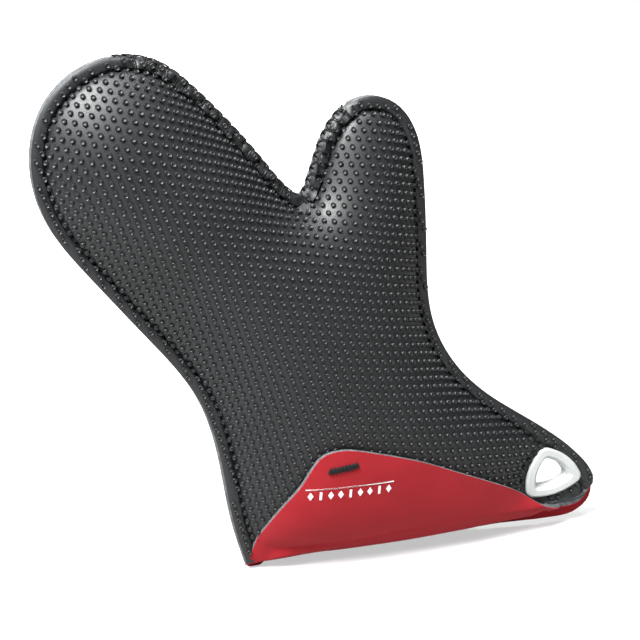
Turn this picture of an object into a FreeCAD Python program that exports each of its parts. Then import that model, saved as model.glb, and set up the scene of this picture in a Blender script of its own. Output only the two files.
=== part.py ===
import FreeCAD, Part
import math
import os

# Oven mitt: two bonded panels (dotted rubber skin, foam core, knitted lining) sewn face to face
# round the edge, with the front panel's cuff folded out as a tongue and a hanging eyelet that
# clamps both panels at the end of the thumb seam.
# Frame: millimetres, +Z up from the cuff to the fingertips, +X towards the thumb, the palm faces
# -Y. The origin is on the floor below the middle of the mitt, on the plane where the panels meet.

Vector = FreeCAD.Vector
doc = FreeCAD.newDocument("oven_mitt")

# ---------------------------------------------------------------- driving dimensions

SIZES = [
    ("overall_width", 354.0, "little-finger side to eyelet corner"),
    ("overall_height", 309.0, "cuff to fingertip"),
    ("skin_thickness", 1.0, "rubber skin without its dots"),
    ("foam_thickness", 2.6, "foam core"),
    ("lining_thickness", 0.6, "knitted lining"),
    ("seam_gap", 0.6, "slack between the two linings at the seam"),
    ("seam_allowance", 9.0, "outer edge to the stitched groove"),
    ("front_puff", 31.0, "depth of the palm side's hollow, where it is widest"),
    ("back_puff", 31.0, "depth of the back side's hollow, where it is widest"),
    ("puff_reach", 22.0, "distance over which a panel swells away from its stitches"),
    ("mouth_front", 4.0, "how far the front edge of the mouth stands off the seam plane"),
    ("mouth_back", 27.0, "how far the back edge of the mouth stands off the seam plane"),
    ("mouth_end", 29.0, "closed length of cuff between the mouth and the eyelet"),
    ("fold_radius", 4.0, "inner radius of the tongue's fold"),
    ("tongue_height", 80.0, "floor to the top of the folded tongue"),
    ("tack_drop", 11.4, "top of the tongue down to the middle of the bartack"),
    ("tack_length", 17.5, "length of the zigzag bartack"),
    ("tack_rise", 2.6, "height of its zigzag"),
    ("tack_thread", 1.3, "width of its satin stitches"),
    ("thread_width", 1.2, "width of the stitch line in the groove"),
    ("thread_height", 0.7, "how far the stitches stand on the skin"),
    ("overcast_width", 7.0, "how far the overcast stitches reach in from the edge"),
    ("overcast_height", 1.2, "thickness of the overcast stitches"),
    ("eyelet_radius", 20.0, "eyelet centre to the tip of a corner"),
    ("eyelet_hole_radius", 11.5, "the same for the hole"),
    ("eyelet_barrel_wall", 1.8, "wall of the barrel that goes through the panels"),
    ("eyelet_flange", 2.6, "thickness of each eyelet half on the skin"),
    ("eyelet_clearance", 0.1, "gap between the barrel and what it goes through"),
    ("eyelet_corner", 5.0, "rounding of the eyelet's three corners"),
    ("eyelet_rim", 1.0, "rounding of its outer rim"),
]

sheet = doc.addObject("Spreadsheet::Sheet", "sizes")
for row, (alias, value, meaning) in enumerate(SIZES, start=1):
    sheet.set("A%d" % row, alias)
    sheet.set("B%d" % row, str(value))
    sheet.setAlias("B%d" % row, alias)
    sheet.set("C%d" % row, meaning)
doc.recompute()


def size(alias):
    return float(sheet.get(alias))


width = size("overall_width")
height = size("overall_height")
laminate = size("skin_thickness") + size("foam_thickness") + size("lining_thickness")
half_gap = size("seam_gap") / 2
allowance = size("seam_allowance")
fold_outer_radius = size("fold_radius") + laminate

# Depths of the bonded layers, measured outwards from the face that the hand touches.
LAYERS = {
    "lining": (0.0, size("lining_thickness")),
    "foam": (size("lining_thickness"), laminate - size("skin_thickness")),
    "skin": (laminate - size("skin_thickness"), laminate),
}

# ---------------------------------------------------------------- outline of the panels

# Points that the cut edge goes through, clockwise from the left corner of the cuff, as shares of
# the overall width (0 in the middle) and height.
LEFT_CUFF = (-0.164, 0.0)
LEFT_SEAM_START = (-0.189, 0.100)
FINGERTIP = (-0.371, 0.997)
THUMB_TIP = (0.021, 0.900)
THUMB_SEAM_END = (0.404, 0.204)
CUT_EDGE = [
    LEFT_CUFF, LEFT_SEAM_START, (-0.209, 0.227), (-0.244, 0.353), (-0.323, 0.477),
    (-0.412, 0.599), (-0.482, 0.715), (-0.501, 0.805), (-0.472, 0.926), FINGERTIP,
    (-0.297, 0.985), (-0.246, 0.942), (-0.121, 0.786), (-0.085, 0.741), (-0.066, 0.731),
    (-0.058, 0.744), (-0.027, 0.840), THUMB_TIP, (0.081, 0.903), (0.126, 0.854),
    (0.148, 0.748), (0.155, 0.605), (0.168, 0.472), (0.226, 0.356), THUMB_SEAM_END,
    (0.463, 0.147), (0.497, 0.084), (0.494, 0.045), (0.460, 0.015), (0.404, 0.0),
]
EYELET_ACROSS = 0.403
EYELET_UP = 0.1165
EYELET_CENTRE = Vector(EYELET_ACROSS * width, 0, EYELET_UP * height)


def share_point(share):
    return Vector(share[0] * width, 0, share[1] * height)


edge_points = [share_point(share) for share in CUT_EDGE]
edge_curve = Part.BSplineCurve()
edge_curve.interpolate(edge_points)


def spans(curve, points):
    """The curve as one edge for each run between two of its points."""
    stops = [curve.parameter(point) for point in points]
    return [curve.toShape(start, stop) for start, stop in zip(stops, stops[1:])]


hem_line = Part.makeLine(edge_points[-1], edge_points[0])
outline_wire = Part.Wire(spans(edge_curve, edge_points) + [hem_line])


def prism(wire, near=-60.0, far=60.0):
    """Solid over a flat wire in the seam plane, from y=near to y=far."""
    face = Part.Face(wire)
    face.translate(Vector(0, near, 0))
    solid = face.extrude(Vector(0, far - near, 0))
    return solid if solid.Volume > 0 else solid.reversed()


outline_prism = prism(outline_wire)

# ---------------------------------------------------------------- how the panels swell

GRID_STEP = 8.0
SWEEPS = 260
OVER_RELAXATION = 1.7
EYELET_MARGIN = 4.0

columns = int(width / GRID_STEP) + 7
rows = int(height / GRID_STEP) + 7
grid_x = [-width / 2 + (i - 3) * GRID_STEP for i in range(columns)]
grid_z = [(j - 3) * GRID_STEP for j in range(rows)]
edge_samples = edge_curve.discretize(Number=260)


def edge_distance(x, z):
    """Distance from a point of the seam plane to the sewn edge."""
    best = 1e9
    for a, b in zip(edge_samples, edge_samples[1:]):
        run_x = b.x - a.x
        run_z = b.z - a.z
        along = ((x - a.x) * run_x + (z - a.z) * run_z) / (run_x * run_x + run_z * run_z)
        along = min(max(along, 0.0), 1.0)
        best = min(best, math.hypot(x - a.x - along * run_x, z - a.z - along * run_z))
    return best


def is_inside(x, z):
    """Whether a point of the seam plane lies within the sewn edge, or below the open cuff."""
    z = max(z, 1.0)
    inside = False
    for a, b in zip(edge_samples, edge_samples[1:] + edge_samples[:1]):
        if (a.z > z) != (b.z > z):
            if x < a.x + (z - a.z) * (b.x - a.x) / (b.z - a.z):
                inside = not inside
    return inside


mouth_left = LEFT_CUFF[0] * width + allowance
mouth_right = EYELET_CENTRE.x - size("eyelet_radius") - EYELET_MARGIN - size("mouth_end")


def mouth_profile(x, depth):
    """Stand-off of the cuff's edge: nothing at both ends, depth in the middle."""
    across = (x - mouth_left) / (mouth_right - mouth_left)
    if across <= 0.0 or across >= 1.0:
        return 0.0
    return depth * math.sin(math.pi * across) ** 0.7


def swelling(puff, mouth_depth, mouth_top):
    """Height of one panel's inner face over the seam plane, as a membrane held by its stitches."""
    reach = size("puff_reach")
    heights = [[half_gap] * rows for _ in range(columns)]
    free = []
    for i, x in enumerate(grid_x):
        for j, z in enumerate(grid_z):
            near_eyelet = math.hypot(x - EYELET_CENTRE.x, z - EYELET_CENTRE.z)
            if not is_inside(x, z) or edge_distance(x, z) < allowance:
                continue
            if near_eyelet < size("eyelet_radius") + EYELET_MARGIN:
                continue
            if z <= mouth_top:
                heights[i][j] = half_gap + mouth_profile(x, mouth_depth)
            else:
                free.append((i, j))
    load = puff / reach ** 2 * GRID_STEP ** 2
    stiffness = 4.0 + (GRID_STEP / reach) ** 2
    for _ in range(SWEEPS):
        for i, j in free:
            around = heights[i - 1][j] + heights[i + 1][j] + heights[i][j - 1] + heights[i][j + 1]
            change = (around + load) / stiffness - heights[i][j]
            heights[i][j] += OVER_RELAXATION * change
    return heights


front_heights = swelling(size("front_puff"), size("mouth_front"), fold_outer_radius + GRID_STEP)
back_heights = swelling(size("back_puff"), size("mouth_back"), 0.0)


def slant(heights, i, j):
    """How much longer a layer is along Y than across its own thickness."""
    i = min(max(i, 1), columns - 2)
    j = min(max(j, 1), rows - 2)
    slope_x = (heights[i + 1][j] - heights[i - 1][j]) / (2 * GRID_STEP)
    slope_z = (heights[i][j + 1] - heights[i][j - 1]) / (2 * GRID_STEP)
    return math.sqrt(1.0 + slope_x ** 2 + slope_z ** 2)


def outside_of(heights, side, depth):
    """Solid of all that lies further out than a face at this depth; side is -1 front, 1 back."""
    poles = []
    for i, x in enumerate(grid_x):
        column = []
        for j, z in enumerate(grid_z):
            stand_off = depth(z) if callable(depth) else depth
            y = side * (heights[i][j] + stand_off * slant(heights, i, j))
            column.append(Vector(x, y, z))
        poles.append(column)
    knots_x = list(range(columns - 2))
    knots_z = list(range(rows - 2))
    mults_x = [4] + [1] * (columns - 4) + [4]
    mults_z = [4] + [1] * (rows - 4) + [4]
    surface = Part.BSplineSurface()
    surface.buildFromPolesMultsKnots(
        poles, mults_x, mults_z, knots_x, knots_z, False, False, 3, 3)
    solid = surface.toShape().extrude(Vector(0, side * 120.0, 0))
    return solid if solid.Volume > 0 else solid.reversed()


def layer(heights, side, inner, outer, region):
    """One layer between two depths, cut to a region."""
    return region.common(outside_of(heights, side, inner)).cut(outside_of(heights, side, outer))


# ---------------------------------------------------------------- cuff edges and tongue


def closed_wire(curve_points, corner_points):
    """Wire of a smooth curve through points, closed by straight runs through corners."""
    curve = Part.BSplineCurve()
    curve.interpolate(curve_points)
    corners = [curve_points[-1]] + corner_points + [curve_points[0]]
    runs = [Part.makeLine(a, b) for a, b in zip(corners, corners[1:])]
    return Part.Wire(spans(curve, curve_points) + runs)


fold_line = fold_outer_radius
fold_left = LEFT_CUFF[0] * width + 1.5
fold_right = 0.385 * width

# The front panel ends at the fold, and near the eyelet at a free edge that rises to the corner.
front_region = outline_prism.common(prism(closed_wire(
    [
        Vector(fold_right, 0, fold_line),
        Vector(0.450 * width, 0, fold_line + 1.5),
        Vector(0.480 * width, 0, fold_line + 5.0),
        Vector(0.520 * width, 0, fold_line + 15.0),
    ],
    [
        Vector(0.6 * width, 0, 1.1 * height),
        Vector(-0.6 * width, 0, 1.1 * height),
        Vector(-0.6 * width, 0, fold_line),
    ],
)))

# Free edge of the tongue, as shares of the overall width and of the tongue's height.
tongue_top = size("tongue_height")
tack_height = tongue_top - size("tack_drop")
TONGUE_EDGE = [
    (-0.142, 0.400), (-0.119, 0.580), (-0.094, 0.745), (-0.077, 0.885), (-0.062, 0.965),
    (-0.044, 0.995), (-0.020, 1.000), (0.008, 0.975), (0.075, 0.888), (0.129, 0.801),
    (0.187, 0.685), (0.263, 0.529), (0.344, 0.320),
]
tongue_edge = [Vector(across * width, 0, up * tongue_top) for across, up in TONGUE_EDGE]
tongue_region = outline_prism.common(prism(closed_wire(
    [Vector(fold_left, 0, fold_line)] + tongue_edge + [Vector(fold_right, 0, fold_line)],
    [],
), far=0.0))


def tongue_gap(z):
    """Gap between the front skin and the tongue: the fold's width, closing up to the bartack."""
    share = (tack_height - z) / (tack_height - fold_line)
    share = min(max(share, 0.0), 1.0)
    return 0.3 + (2 * size("fold_radius") - 0.3) * share ** 2


def tongue_depth(depth):
    """Depth of a tongue layer's face over the front panel's inner face."""
    return lambda z: laminate + tongue_gap(z) + (laminate - depth)


def fold_section(x, inner, outer):
    """Half ring that joins a layer of the panel to the same layer of the tongue."""
    stand_off = half_gap + mouth_profile(x, size("mouth_front"))
    centre = Vector(x, -(stand_off + laminate + size("fold_radius")), fold_line)
    arcs = []
    for radius in (fold_outer_radius - outer, fold_outer_radius - inner):
        near = centre + Vector(0, radius, 0)
        below = centre + Vector(0, 0, -radius)
        far = centre + Vector(0, -radius, 0)
        arcs.append((near, below, far))
    inner_arc = Part.Arc(*arcs[0]).toShape()
    outer_arc = Part.Arc(*arcs[1]).toShape()
    near_side = Part.makeLine(arcs[0][0], arcs[1][0])
    far_side = Part.makeLine(arcs[0][2], arcs[1][2])
    return Part.Wire([inner_arc, far_side, outer_arc, near_side])


FOLD_SECTIONS = 9


def fold_layer(inner, outer):
    """One layer of the fold, from the left corner to where the tongue ends."""
    sections = []
    for k in range(FOLD_SECTIONS):
        x = fold_left + (fold_right - fold_left) * k / (FOLD_SECTIONS - 1)
        sections.append(fold_section(x, inner, outer))
    return Part.makeLoft(sections, True)


# ---------------------------------------------------------------- bands that follow the edge


def edge_band(start, end, outer_inset, inner_inset):
    """Prism between two lines that keep their distance from the cut edge, from start to end."""
    first = edge_curve.parameter(start)
    last = edge_curve.parameter(end)
    count = max(4, int(edge_curve.length(first, last) / 9.0))
    lines = []
    for inset in (outer_inset, inner_inset):
        line = []
        for point in edge_curve.discretize(Number=count, First=first, Last=last):
            along = edge_curve.tangent(edge_curve.parameter(point))[0]
            line.append(point + Vector(along.z, 0, -along.x) * inset)
        lines.append(line)
    edges = []
    for line in lines:
        curve = Part.BSplineCurve()
        curve.interpolate(line)
        edges += spans(curve, line)
    edges.append(Part.makeLine(lines[0][-1], lines[1][-1]))
    edges.append(Part.makeLine(lines[1][0], lines[0][0]))
    return prism(Part.Wire(Part.__sortEdges__(edges)))


# ---------------------------------------------------------------- eyelet

# Three crossed cylinders share a bar with three bulging sides; each cylinder's axis runs through
# the opposite corner, so its radius is the side of the triangle.
SIDE_PER_RADIUS = math.sqrt(3.0)
FIRST_CORNER = 105.0


def curved_triangle(name, radius, base, length):
    """Rounded three-cornered bar along Y. Its sizes are expressions; base is its rear end."""
    cylinders = []
    for k in range(3):
        angle = math.radians(FIRST_CORNER + 120.0 * k)
        side = doc.addObject("Part::Cylinder", "%s_side_%d" % (name, k + 1))
        side.Placement.Rotation = FreeCAD.Rotation(Vector(1, 0, 0), 90)
        side.setExpression("Radius", "(%s) * %.6f" % (radius, SIDE_PER_RADIUS))
        side.setExpression("Height", length)
        centre_x = "sizes.overall_width * %.4f + (%s) * %.6f" % (
            EYELET_ACROSS, radius, math.cos(angle))
        centre_z = "sizes.overall_height * %.4f + (%s) * %.6f" % (
            EYELET_UP, radius, math.sin(angle))
        side.setExpression("Placement.Base.x", centre_x)
        side.setExpression("Placement.Base.y", base)
        side.setExpression("Placement.Base.z", centre_z)
        cylinders.append(side)
    bar = doc.addObject("Part::MultiCommon", name)
    bar.Shapes = cylinders
    doc.recompute()
    return bar


def rounded(name, base, radius, wanted):
    """Fillet of all edges of a feature that the test wants."""
    fillet = doc.addObject("Part::Fillet", name)
    fillet.Base = base
    edges = base.Shape.Edges
    fillet.Edges = [(k + 1, radius, radius) for k, edge in enumerate(edges) if wanted(edge)]
    doc.recompute()
    return fillet


def runs_along_y(edge):
    box = edge.BoundBox
    return box.YLength > 0.5 and box.XLength < 1e-3 and box.ZLength < 1e-3


def lies_at(y):
    return lambda edge: abs(edge.BoundBox.YMin - y) < 1e-3 and abs(edge.BoundBox.YMax - y) < 1e-3


LAMINATE = "sizes.skin_thickness + sizes.foam_thickness + sizes.lining_thickness"
SKIN_FACE = "(sizes.seam_gap / 2 + " + LAMINATE + ")"
HOLE = "sizes.eyelet_hole_radius"
BARREL = "(sizes.eyelet_hole_radius + sizes.eyelet_barrel_wall)"
SOCKET = "(sizes.eyelet_hole_radius + sizes.eyelet_barrel_wall + sizes.eyelet_clearance)"
FLANGE = "sizes.eyelet_flange"
skin_face = half_gap + laminate
flange = size("eyelet_flange")


def eyelet_bar(name, radius, base, length, corner):
    bar = curved_triangle(name + "_sharp", radius, base, length)
    return rounded(name, bar, corner, runs_along_y)


def cut_feature(name, base, tool):
    cut = doc.addObject("Part::Cut", name)
    cut.Base = base
    cut.Tool = tool
    doc.recompute()
    return cut


corner = size("eyelet_corner")
hole_corner = corner * size("eyelet_hole_radius") / size("eyelet_radius")
barrel_corner = hole_corner + size("eyelet_barrel_wall")

front_flange = eyelet_bar("front_flange", "sizes.eyelet_radius", "-" + SKIN_FACE, FLANGE, corner)
front_flange_eased = rounded(
    "front_flange_eased", front_flange, size("eyelet_rim"), lies_at(-(skin_face + flange)))
socket = eyelet_bar("socket", SOCKET, "20", "40", barrel_corner)
eyelet_front = cut_feature("eyelet_front", front_flange_eased, socket)

rear_flange = eyelet_bar(
    "rear_flange", "sizes.eyelet_radius", SKIN_FACE + " + " + FLANGE, FLANGE, corner)
rear_flange_eased = rounded(
    "rear_flange_eased", rear_flange, size("eyelet_rim"), lies_at(skin_face + flange))
barrel = eyelet_bar(
    "barrel", BARREL, SKIN_FACE + " + " + FLANGE,
    "2 * " + SKIN_FACE + " + 2 * " + FLANGE + " - 0.4", barrel_corner)
rear_solid = doc.addObject("Part::MultiFuse", "rear_solid")
rear_solid.Shapes = [rear_flange_eased, barrel]
doc.recompute()
hanging_hole = eyelet_bar("hanging_hole", HOLE, "20", "40", hole_corner)
eyelet_rear = cut_feature("eyelet_rear", rear_solid, hanging_hole)

# ---------------------------------------------------------------- sub-parts


def finished(name, shape):
    """Document object for a sub-part whose shape is worked out above."""
    part = doc.addObject("Part::Feature", name)
    part.Label = name
    part.Shape = shape
    part.Placement = FreeCAD.Placement(Vector(0, 0, 0), FreeCAD.Rotation())
    return part


eyelet_opening = socket.Shape
parts = [eyelet_front, eyelet_rear]

for material, (inner, outer) in LAYERS.items():
    panel = layer(front_heights, -1, inner, outer, front_region)
    fold = fold_layer(inner, outer)
    tongue_inner = outside_of(front_heights, -1, tongue_depth(outer))
    tongue_outer = outside_of(front_heights, -1, tongue_depth(inner))
    tongue = tongue_region.common(tongue_inner).cut(tongue_outer)
    sheet_runs = [panel.cut(eyelet_opening), fold, tongue]
    parts.append(finished("front_" + material, Part.makeCompound(sheet_runs)))

for material, (inner, outer) in LAYERS.items():
    whole = layer(back_heights, 1, inner, outer, outline_prism).cut(eyelet_opening)
    parts.append(finished("back_" + material, whole))

groove_inner = allowance + size("thread_width") / 2
groove_outer = allowance - size("thread_width") / 2
stitch_top = laminate + size("thread_height")
flanges = eyelet_front.Shape.fuse(eyelet_rear.Shape)


def stitch_line(name, start, end):
    """Lockstitch run: a thread on each skin, along the groove between two points of the edge."""
    band = edge_band(start, end, groove_outer, groove_inner)
    needle = layer(front_heights, -1, laminate, stitch_top, front_region.common(band))
    bobbin = layer(back_heights, 1, laminate, stitch_top, outline_prism.common(band))
    threads = [solid.cut(flanges) for solid in (needle, bobbin)]
    return finished(name, Part.makeCompound(threads))


parts.append(stitch_line(
    "seam_thread_left", share_point(LEFT_SEAM_START), share_point(FINGERTIP)))
parts.append(stitch_line(
    "seam_thread_right", share_point(THUMB_TIP), share_point(THUMB_SEAM_END)))

overcast_height = size("overcast_height")
overcast_top = laminate + overcast_height
wrap_band = edge_band(
    share_point(FINGERTIP), share_point(THUMB_TIP), 0.0, size("overcast_width"))
rim_band = edge_band(share_point(FINGERTIP), share_point(THUMB_TIP), -overcast_height, 0.0)
rim_half_depth = half_gap + overcast_top
rim_slab = Part.makeBox(
    2 * width, 2 * rim_half_depth, 2 * height, Vector(-width, -rim_half_depth, 0))
front_wrap = layer(front_heights, -1, laminate, overcast_top, wrap_band)
back_wrap = layer(back_heights, 1, laminate, overcast_top, wrap_band)
rim = rim_band.common(rim_slab)
parts.append(finished("overcast_thread", rim.fuse([front_wrap, back_wrap])))

# The bartack is a satin zigzag on the tongue's lining, in line with the tongue's free edge.
TACK_TEETH = 8
TACK_CENTRE_SHARE = -0.024
TACK_SLOPE = math.tan(math.radians(8.0))
tack_upper = []
tack_lower = []
for k in range(2 * TACK_TEETH + 1):
    along = (k / (2.0 * TACK_TEETH) - 0.5) * size("tack_length")
    rise = size("tack_rise") * (0.5 if k % 2 else -0.5)
    x = TACK_CENTRE_SHARE * width + along
    z = tack_height + along * TACK_SLOPE + rise
    tack_upper.append(Vector(x, 0, z + size("tack_thread") / 2))
    tack_lower.append(Vector(x, 0, z - size("tack_thread") / 2))
tack_region = prism(Part.makePolygon(tack_upper + tack_lower[::-1] + tack_upper[:1]), far=0.0)
tack_under = outside_of(front_heights, -1, tongue_depth(0.0))
tack_over = outside_of(front_heights, -1, tongue_depth(-size("thread_height")))
parts.append(finished("bartack_thread", tack_region.common(tack_under).cut(tack_over)))

# ---------------------------------------------------------------- checks and files

doc.recompute()
for thing in doc.Objects:
    if "Invalid" in thing.State or "Error" in thing.State:
        raise RuntimeError("%s failed: %s" % (thing.Name, thing.State))

os.makedirs("parts", exist_ok=True)
for part in parts:
    shape = part.Shape
    if shape.isNull() or not shape.isValid() or not shape.Solids:
        raise RuntimeError("%s has no valid solid" % part.Label)
    shape.exportStep("parts/%s.step" % part.Label)
    print("%-18s %2d solids %9.0f mm3" % (part.Label, len(shape.Solids), shape.Volume))
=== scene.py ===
# %% [markdown]
# # Oven mitt
# Two panels of bonded sheet (a dotted rubber skin, a foam core and a knitted red lining) are sewn
# face to face round the edge. The front panel's cuff is folded out as a tongue, red side out, and
# a white three-cornered eyelet clamps both panels where the thumb seam ends.
# Everything is in metres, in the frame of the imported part: +Z up from the cuff, +X towards the
# thumb, palm towards -Y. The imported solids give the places, and every solid is replaced here by a
# piece with the swelling, the stitches and the grip dots that the plain solid doesn't have.

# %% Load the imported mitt
import math

import bpy
import numpy as np
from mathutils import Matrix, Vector
from mathutils.geometry import delaunay_2d_cdt


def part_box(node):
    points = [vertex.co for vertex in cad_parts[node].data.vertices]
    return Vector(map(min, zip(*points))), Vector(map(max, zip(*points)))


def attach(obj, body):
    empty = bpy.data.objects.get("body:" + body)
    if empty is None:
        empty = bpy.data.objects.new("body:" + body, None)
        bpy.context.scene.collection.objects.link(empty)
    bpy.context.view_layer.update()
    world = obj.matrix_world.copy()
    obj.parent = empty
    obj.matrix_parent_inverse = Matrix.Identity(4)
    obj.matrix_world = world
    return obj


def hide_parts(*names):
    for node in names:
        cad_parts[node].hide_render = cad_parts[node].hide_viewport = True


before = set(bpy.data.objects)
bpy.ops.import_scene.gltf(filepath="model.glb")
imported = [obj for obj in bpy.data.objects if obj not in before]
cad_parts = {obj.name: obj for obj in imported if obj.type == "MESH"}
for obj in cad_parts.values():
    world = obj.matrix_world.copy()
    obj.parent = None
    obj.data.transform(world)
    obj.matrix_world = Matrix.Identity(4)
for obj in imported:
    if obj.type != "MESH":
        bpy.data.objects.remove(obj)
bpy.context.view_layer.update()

MM = 0.001
rng = np.random.default_rng(7)

# %% [markdown]
# ## Sizes
# The panels' box gives the overall width and height; the rest are the sheet's own thicknesses and
# the sizes of its dots, stitches and folds, as the real ones measure.

# %% Overall sizes from the frame
panel_low, panel_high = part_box("back_skin")
WIDTH = panel_high[0] - panel_low[0]
HEIGHT = panel_high[2] - panel_low[2]
ring_low, ring_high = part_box("eyelet_front")
# A triangle's centre isn't the middle of its box.
OFF_MIDDLE = (-0.6 * MM, -2.2 * MM)
EYELET = ((ring_low[0] + ring_high[0]) / 2 + OFF_MIDDLE[0],
          (ring_low[2] + ring_high[2]) / 2 + OFF_MIDDLE[1])
print("mitt %.0f mm wide, %.0f mm high" % (WIDTH / MM, HEIGHT / MM))

# %% Sizes of the sheet, the dots and the stitches
LINING = 0.6 * MM
FOAM = 2.6 * MM
SKIN = 1.0 * MM
LAMINATE = LINING + FOAM + SKIN
HALF_GAP = 0.3 * MM
ALLOWANCE = 9.0 * MM
DOT_PITCH = 5.65 * MM
DOT_RADIUS = 1.5 * MM
DOT_HEIGHT = 1.6 * MM
LATTICE_ANGLE = math.radians(-10.0)
STITCH_PITCH = 3.8 * MM
OVERCAST_PITCH = 6.8 * MM
TONGUE_TOP = 80.0 * MM
FRONT_PUFF = 31.0 * MM
BACK_PUFF = 31.0 * MM
FRONT_MOUTH = 2.5 * MM
BACK_MOUTH = 27.0 * MM
FRONT_MOUTH_TOP = 14.0 * MM
MOUTH_END = 29.0 * MM

# %% [markdown]
# ## Outline
# Both panels are cut to one outline. A Bezier curve object could hold it, but the stitches, the
# groove and the dots all need to ask how far a place is from the edge, so it is kept as numbers:
# a natural spline through points given as shares of the overall width (0 in the middle) and
# height, clockwise from the cuff's left corner.

# %% Points of the cut edge
CUT_EDGE = np.array([
    (-0.164, 0.0), (-0.189, 0.100), (-0.209, 0.227), (-0.244, 0.353), (-0.323, 0.477),
    (-0.412, 0.599), (-0.482, 0.715), (-0.501, 0.805), (-0.472, 0.926), (-0.371, 0.997),
    (-0.297, 0.985), (-0.246, 0.942), (-0.121, 0.786), (-0.085, 0.741), (-0.066, 0.731),
    (-0.058, 0.744), (-0.027, 0.840), (0.021, 0.900), (0.081, 0.903), (0.126, 0.854),
    (0.148, 0.748), (0.155, 0.605), (0.168, 0.472), (0.226, 0.356), (0.404, 0.204),
    (0.463, 0.147), (0.497, 0.084), (0.494, 0.045), (0.460, 0.015), (0.404, 0.0),
])
FINGERTIP = 9
THUMB_TIP = 17
EYELET_SIDE = 24


# %% A smooth curve through points
def spline(points, count):
    """Points evenly spaced along a smooth curve, and the curve's distance at each given point."""
    points = np.asarray(points, float)
    steps = np.linalg.norm(np.diff(points, axis=0), axis=1)
    knots = np.concatenate([[0.0], np.cumsum(steps)])
    n = len(points)
    matrix = np.eye(n)
    right = np.zeros_like(points)
    for i in range(1, n - 1):
        before = steps[i - 1]
        after = steps[i]
        matrix[i, i - 1:i + 2] = (before, 2 * (before + after), after)
        right[i] = 6 * ((points[i + 1] - points[i]) / after - (points[i] - points[i - 1]) / before)
    curvature = np.linalg.solve(matrix, right)

    def at(s):
        i = np.clip(np.searchsorted(knots, s, side="right") - 1, 0, n - 2)
        h = steps[i][:, None]
        a = (knots[i + 1] - s)[:, None] / h
        b = 1 - a
        bend = (a ** 3 - a) * curvature[i] + (b ** 3 - b) * curvature[i + 1]
        return a * points[i] + b * points[i + 1] + bend * h ** 2 / 6

    fine = at(np.linspace(0, knots[-1], 4000))
    length = np.concatenate([[0.0], np.cumsum(np.linalg.norm(np.diff(fine, axis=0), axis=1))])
    at_knots = np.interp(knots, np.linspace(0, knots[-1], 4000), length)
    even = np.linspace(0, length[-1], count)
    return np.stack([np.interp(even, length, fine[:, k]) for k in range(2)], axis=1), at_knots


# %% The cut edge, and places measured from it
edge_knots = CUT_EDGE * (WIDTH, HEIGHT)
edge, knot_distance = spline(edge_knots, 700)
EDGE_LENGTH = knot_distance[-1]
edge_run = np.linspace(0, EDGE_LENGTH, len(edge))
edge_tangent = np.gradient(edge, axis=0)
edge_tangent /= np.linalg.norm(edge_tangent, axis=1)[:, None]
edge_inward = np.stack([edge_tangent[:, 1], -edge_tangent[:, 0]], axis=1)
print("cut edge %.0f mm long" % (EDGE_LENGTH / MM))


def edge_point(run, inset):
    """Point at a distance along the cut edge, moved inwards by an inset."""
    out = []
    for k in range(2):
        base = np.interp(run, edge_run, edge[:, k])
        out.append(base + inset * np.interp(run, edge_run, edge_inward[:, k]))
    return np.stack(out, axis=-1)


def edge_distance(points):
    """Distance of each point from the cut edge, and how far along the edge the nearest place is."""
    points = np.atleast_2d(points)
    a = edge[:-1]
    step = edge[1:] - a
    square = (step ** 2).sum(1)
    best = np.full(len(points), 1e9)
    where = np.zeros(len(points))
    for start in range(0, len(points), 4000):
        chunk = points[start:start + 4000]
        offset = chunk[:, None, :] - a[None]
        t = np.clip((offset * step).sum(2) / square, 0, 1)
        gap = np.linalg.norm(offset - t[..., None] * step, axis=2)
        nearest = gap.argmin(1)
        rows = np.arange(len(chunk))
        best[start:start + 4000] = gap[rows, nearest]
        where[start:start + 4000] = edge_run[nearest] + t[rows, nearest] * np.sqrt(square[nearest])
    return best, where


# %% Which points lie inside an outline
def within(points, polygon):
    """Whether each point lies inside a closed polygon."""
    x, z = points[:, 0][:, None], points[:, 1][:, None]
    ax, az = polygon[:, 0][None], polygon[:, 1][None]
    bx, bz = np.roll(ax, -1, 1), np.roll(az, -1, 1)
    crosses = (az > z) != (bz > z)
    with np.errstate(divide="ignore", invalid="ignore"):
        at = ax + (z - az) * (bx - ax) / (bz - az)
    return ((crosses & (x < at)).sum(1) % 2) == 1


# %% [markdown]
# ## How the panels swell
# Each panel is a springy sheet that its stitches hold down, so it stands up like a pillow. Blender's
# Cloth with pressure could blow it up, but it would blur the stitched groove. Instead the height
# over the seam plane is relaxed on a grid, as a membrane under a load: nothing along the seam and
# round the eyelet, and along the cuff the shape of the open mouth. The back's mouth gapes, and the
# front's is held nearly flat by its fold.

# %% A grid over the pattern
CELL = 2.0 * MM
GRID_X = np.arange(-WIDTH / 2 - 6 * CELL, WIDTH / 2 + 6 * CELL, CELL)
GRID_Z = np.arange(-10 * CELL, HEIGHT + 6 * CELL, CELL)
REACH = 22.0 * MM
grid_points = np.stack(np.meshgrid(GRID_X, GRID_Z, indexing="ij"), axis=-1)
flat_points = grid_points.reshape(-1, 2)
raised_points = np.stack([flat_points[:, 0], np.maximum(flat_points[:, 1], 1 * MM)], axis=1)
grid_gap, _ = edge_distance(flat_points)
grid_inside = np.concatenate([within(raised_points[k:k + 6000], edge)
                              for k in range(0, len(raised_points), 6000)])
shape = grid_points.shape[:2]
grid_gap = grid_gap.reshape(shape)
grid_inside = grid_inside.reshape(shape)

# %% The clamped pad round the eyelet, and the mouth's two ends
EYELET_PAD = 24.0 * MM
from_eyelet = np.hypot(grid_points[..., 0] - EYELET[0], grid_points[..., 1] - EYELET[1])
MOUTH_LEFT = edge_knots[0, 0] + ALLOWANCE
MOUTH_RIGHT = EYELET[0] - EYELET_PAD - MOUTH_END
print("mouth %.0f mm wide" % ((MOUTH_RIGHT - MOUTH_LEFT) / MM))


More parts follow.
